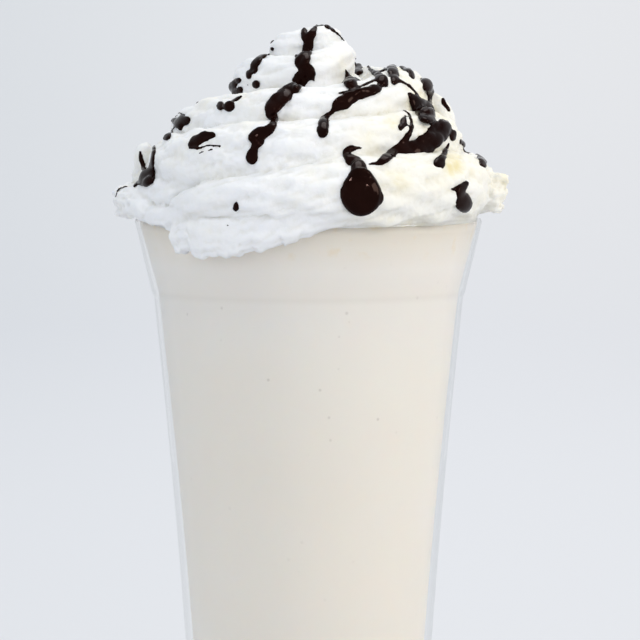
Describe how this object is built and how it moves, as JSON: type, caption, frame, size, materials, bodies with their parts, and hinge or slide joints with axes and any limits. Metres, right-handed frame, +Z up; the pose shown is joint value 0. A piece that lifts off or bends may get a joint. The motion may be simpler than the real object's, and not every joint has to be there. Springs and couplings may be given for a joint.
{
  "type": "vanilla milkshake",
  "caption": "Flared glass tumbler filled to the rim with pale vanilla milkshake and topped with a coiled mound of whipped cream that overhangs the rim, drizzled with chocolate sauce",
  "frame": {"origin": "centre of the resting ring under the glass, on the table plane and on the glass's axis", "axes": "+Z up along the glass's axis, +X to the right and -Y towards the viewer, as the drink is shown"},
  "size_m": [0.0993, 0.1007, 0.1985],
  "materials": {
    "clear_glass": "clear, smooth",
    "milkshake": "creamy, satin",
    "whipped_cream": "soft, matte",
    "chocolate_sauce": "wet, glossy"
  },
  "bodies": {
    "root": {"glass": "clear_glass", "milkshake": "milkshake", "whipped_cream": "whipped_cream"}
  },
  "joints": []
}
